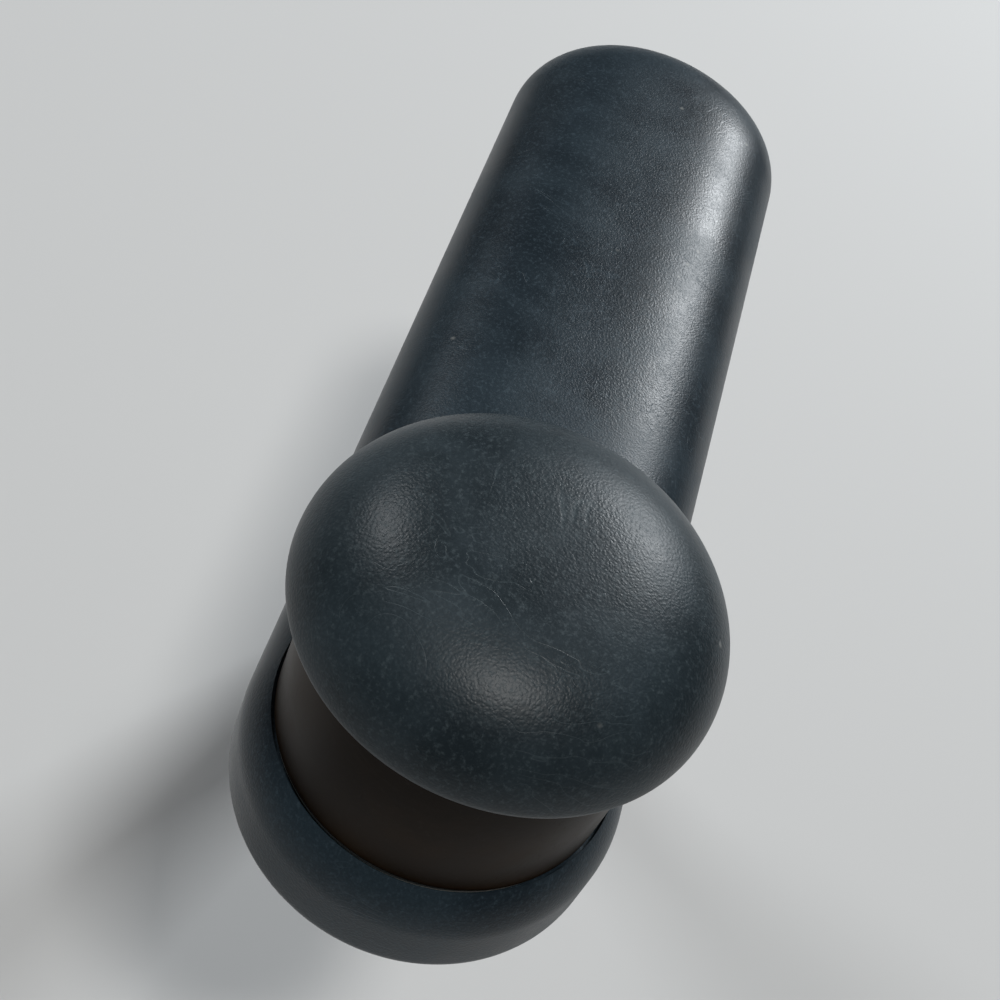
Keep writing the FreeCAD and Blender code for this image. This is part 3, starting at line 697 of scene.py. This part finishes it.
# ---- washer, pad and collar ------------------------------------------------------------------
bore_r = SPIGOT_R + RUN
washer_r, washer_top = high("seat_washer")[1], high("seat_washer")[2]
piece("seat_ring", drawn(rounded([
    (bore_r, 0.0, 0.2 * MM), (washer_r, 0.0, 0.5 * MM), (washer_r, washer_top, 0.5 * MM),
    (bore_r, washer_top, 0.2 * MM)]), slot=SLOT_OF["seat_washer"]),
    "seat", SLOT_OF["seat_washer"], "seat_washer")
pad_r, pad_top = high("washer_pad")[1], high("washer_pad")[2]
piece("pad_ring", drawn(rounded([
    (SPIGOT_R + GAP, washer_top), (pad_r, washer_top), (pad_r, pad_top, 0.4 * MM),
    (SPIGOT_R + GAP, pad_top, 0.2 * MM)]), slot=SLOT_OF["washer_pad"]),
    "seat", SLOT_OF["washer_pad"], "washer_pad")
collar_z, collar_top, collar_r = low("pin_collar")[2], high("pin_collar")[2], high("pin_collar")[1]
seal_low, seal_high, seal_out = low("collar_seal")[2], high("collar_seal")[2], high("collar_seal")[1]
piece("turned_collar", drawn(rounded([
    (bore_r, seal_low), (bore_r, collar_z, 0.8 * MM), (collar_r, collar_z, 1.2 * MM), (collar_r, BAR_Z),
    (10.5 * MM, BAR_Z), (10.5 * MM, collar_top), (bore_r, collar_top), (bore_r, seal_high),
    (seal_out, seal_high), (seal_out, seal_low)]), slot=SLOT_OF["pin_collar"]), "head", SLOT_OF["pin_collar"],
    "pin_collar")

# ---- base screws -----------------------------------------------------------------------------
HEAD_R, HEAD_T, SCREW_R, SCREW_LONG = 2.1 * MM, 1.2 * MM, 1.1 * MM, 8.0 * MM
row_y = BAR_HALF - SKIN - HEAD_R - 0.2 * MM
screw = drawn(rounded([
    (0.0, 0.0), (HEAD_R - 0.02 * MM, 0.0, 0.12 * MM), (SCREW_R, HEAD_T), (SCREW_R, SCREW_LONG - 0.55 * MM),
    (0.66 * MM, SCREW_LONG), (0.0, SCREW_LONG)]), quarter=10, slot="screw_steel")
arm, thin, deep = 1.3 * MM, 0.25 * MM, 0.6 * MM
for across, along in ((arm, thin), (thin, arm)):
    screw = cut(screw, block((-across, across), (-along, along), (-MM, deep)))
screw_at = [(x, k * row_y, BAR_Z) for x in (18.0 * MM, REACH / 2, REACH - 17.0 * MM) for k in (-1, 1)]
piece("driven_screws", copies(screw, screw_at, "screw_steel", sharp=30.0),
      "head", "screw_steel", "base_screws")

# ---- floor, light, camera --------------------------------------------------------------------
floor_z = cad_box[0][2]
FLOOR_HALF = 4.0
FLOOR_COLOUR = (0.6, 0.6, 0.595, 1)
SKY_COLOUR, SKY_STRENGTH = (0.95, 0.97, 1.0, 1), 0.08
HEAD_MIDDLE = (0.06, 0.0, 0.02)


def studio():
    me = bpy.data.meshes.new("floor")
    corners = [(x * FLOOR_HALF, y * FLOOR_HALF, floor_z) for x, y in ((-1, -1), (1, -1), (1, 1), (-1, 1))]
    me.from_pydata(corners, [], [(0, 1, 2, 3)])
    ob = bpy.data.objects.new("floor", me)
    scene.collection.objects.link(ob)
    m = bpy.data.materials.new("pale floor")
    m.use_nodes = True
    b = m.node_tree.nodes["Principled BSDF"]
    b.inputs["Base Color"].default_value = FLOOR_COLOUR
    b.inputs["Roughness"].default_value = 0.8
    me.materials.append(m)
    w = bpy.data.worlds.new("studio")
    w.use_nodes = True
    w.node_tree.nodes["Background"].inputs[0].default_value = SKY_COLOUR
    w.node_tree.nodes["Background"].inputs[1].default_value = SKY_STRENGTH
    scene.world = w


def soft_light(name, direction, distance, size, power, colour):
    """Area light at distance along direction from the head's middle, facing it."""
    d = bpy.data.lights.new(name, "AREA")
    d.shape, d.size, d.size_y = "RECTANGLE", size[0], size[1]
    d.energy, d.color = power, colour
    ob = bpy.data.objects.new(name, d)
    v = Vector(direction).normalized()
    ob.location = Vector(HEAD_MIDDLE) + v * distance
    ob.rotation_euler = v.to_track_quat("Z", "Y").to_euler()
    scene.collection.objects.link(ob)


studio()
soft_light("window", (-0.79, 0.36, 0.50), 1.0, (0.20, 0.11), 6.2, (0.93, 0.97, 1.0))
soft_light("fill", (-0.44, -0.6, 0.67), 1.0, (0.18, 0.18), 2.6, (0.95, 0.98, 1.0))
soft_light("top", (0.31, 0.11, 0.95), 1.0, (0.14, 0.14), 4.6, (1.0, 0.99, 0.97))

CAMERA_AT = (0.17750, -0.01102, 0.14543)
CAMERA_SIDE, CAMERA_BACK = Vector((-0.2507, 0.9238, 0.2895)), Vector((0.6654, -0.0527, 0.7446))
cam = bpy.data.cameras.new("camera")
cam.sensor_width, cam.lens = 36.0, 58.19
cam.clip_start, cam.clip_end = 0.005, 20.0
cam_ob = bpy.data.objects.new("camera", cam)
side = CAMERA_SIDE.normalized()
back = CAMERA_BACK.normalized()
up = back.cross(side).normalized()
side = up.cross(back)
cam_ob.matrix_world = Matrix([(side[k], up[k], back[k], CAMERA_AT[k]) for k in range(3)] + [(0, 0, 0, 1)])
scene.collection.objects.link(cam_ob)
scene.camera = cam_ob
scene.view_settings.view_transform = "Standard"
